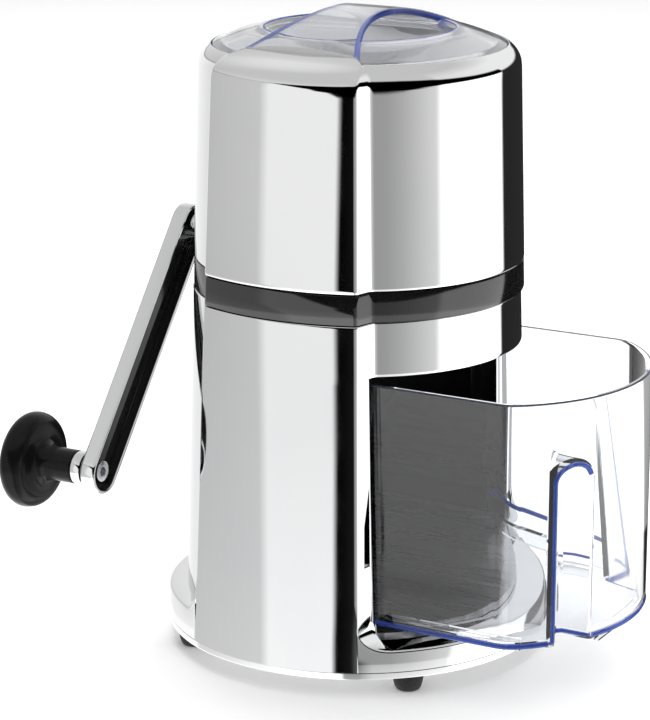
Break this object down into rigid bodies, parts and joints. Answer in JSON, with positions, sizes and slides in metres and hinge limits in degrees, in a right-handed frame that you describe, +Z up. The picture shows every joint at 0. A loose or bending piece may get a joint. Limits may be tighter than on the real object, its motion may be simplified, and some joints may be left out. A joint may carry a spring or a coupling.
{
  "type": "manual ice crusher",
  "caption": "Hand-cranked ice crusher: chromed casing with cheeks and a black band, clear lid with a bridge handle, side crank with a round knob, clear pull-out ice drawer.",
  "frame": {"origin": "centre of the base plate's underside; the rubber feet reach 7.5 mm below it", "axes": "+Z up, -Y towards the front where the drawer pulls out, +Y towards the crank at the back, the cheeks at +X and -X"},
  "size_m": [0.1651, 0.2382, 0.2557],
  "materials": {
    "chrome": "mirror-polished chrome plate",
    "steel": "stainless steel, fine brushed",
    "black_gloss": "glossy black plastic",
    "black_matt": "satin black plastic",
    "rubber": "matt black rubber",
    "clear_plastic": "clear moulded plastic with a blue tint at its edges",
    "hopper_plastic": "satin pale plastic"
  },
  "bodies": {
    "housing": {"base_plate": "chrome", "lower_housing": "chrome", "middle_band": "black_gloss", "upper_housing": "chrome", "drawer_tray": "steel", "drawer_guide_left": "black_matt", "drawer_guide_right": "black_matt", "hopper": "hopper_plastic", "crushing_chamber": "black_matt", "fixed_comb_left": "steel", "fixed_comb_right": "steel", "front_bearing": "black_matt", "rear_bearing": "black_matt", "crank_collar": "chrome", "foot_front_left": "rubber", "foot_front_right": "rubber", "foot_rear_right": "rubber", "foot_rear_left": "rubber", "foot_screw_front_left": "steel", "foot_screw_front_right": "steel", "foot_screw_rear_right": "steel", "foot_screw_rear_left": "steel", "chamber_screw_1": "steel", "chamber_screw_2": "steel", "chamber_screw_3": "steel", "chamber_screw_4": "steel"},
    "crank": {"crank_shaft": "steel", "crusher_blade_1": "steel", "crusher_blade_2": "steel", "crusher_blade_3": "steel", "crusher_blade_4": "steel", "crusher_blade_5": "steel", "blade_spacer_1": "steel", "blade_spacer_2": "steel", "blade_spacer_3": "steel", "blade_spacer_4": "steel", "shaft_end_nut": "steel", "crank_hub": "chrome", "crank_arm": "chrome", "crank_bolt": "chrome", "knob_screw": "steel", "knob_washer": "black_matt", "knob_ferrule": "chrome"},
    "knob": {"knob": "black_gloss"},
    "drawer": {"ice_drawer": "clear_plastic"},
    "lid": {"lid": "clear_plastic"}
  },
  "joints": [
    {"name": "crank_spin", "type": "hinge", "parent": "housing", "child": "crank", "pos_m": [0, 0.08, 0.153], "axis": [0, 1, 0], "continuous": true},
    {"name": "knob_spin", "type": "hinge", "parent": "crank", "child": "knob", "pos_m": [-0.06894, 0.1, 0.06664], "axis": [0, 1, 0], "continuous": true},
    {"name": "drawer_slide", "type": "slide", "parent": "housing", "child": "drawer", "axis": [0, -1, 0], "range_m": [0, 0.12]},
    {"name": "lid_lift", "type": "slide", "parent": "housing", "child": "lid", "axis": [0, 0, 1], "range_m": [0, 0.1]}
  ]
}
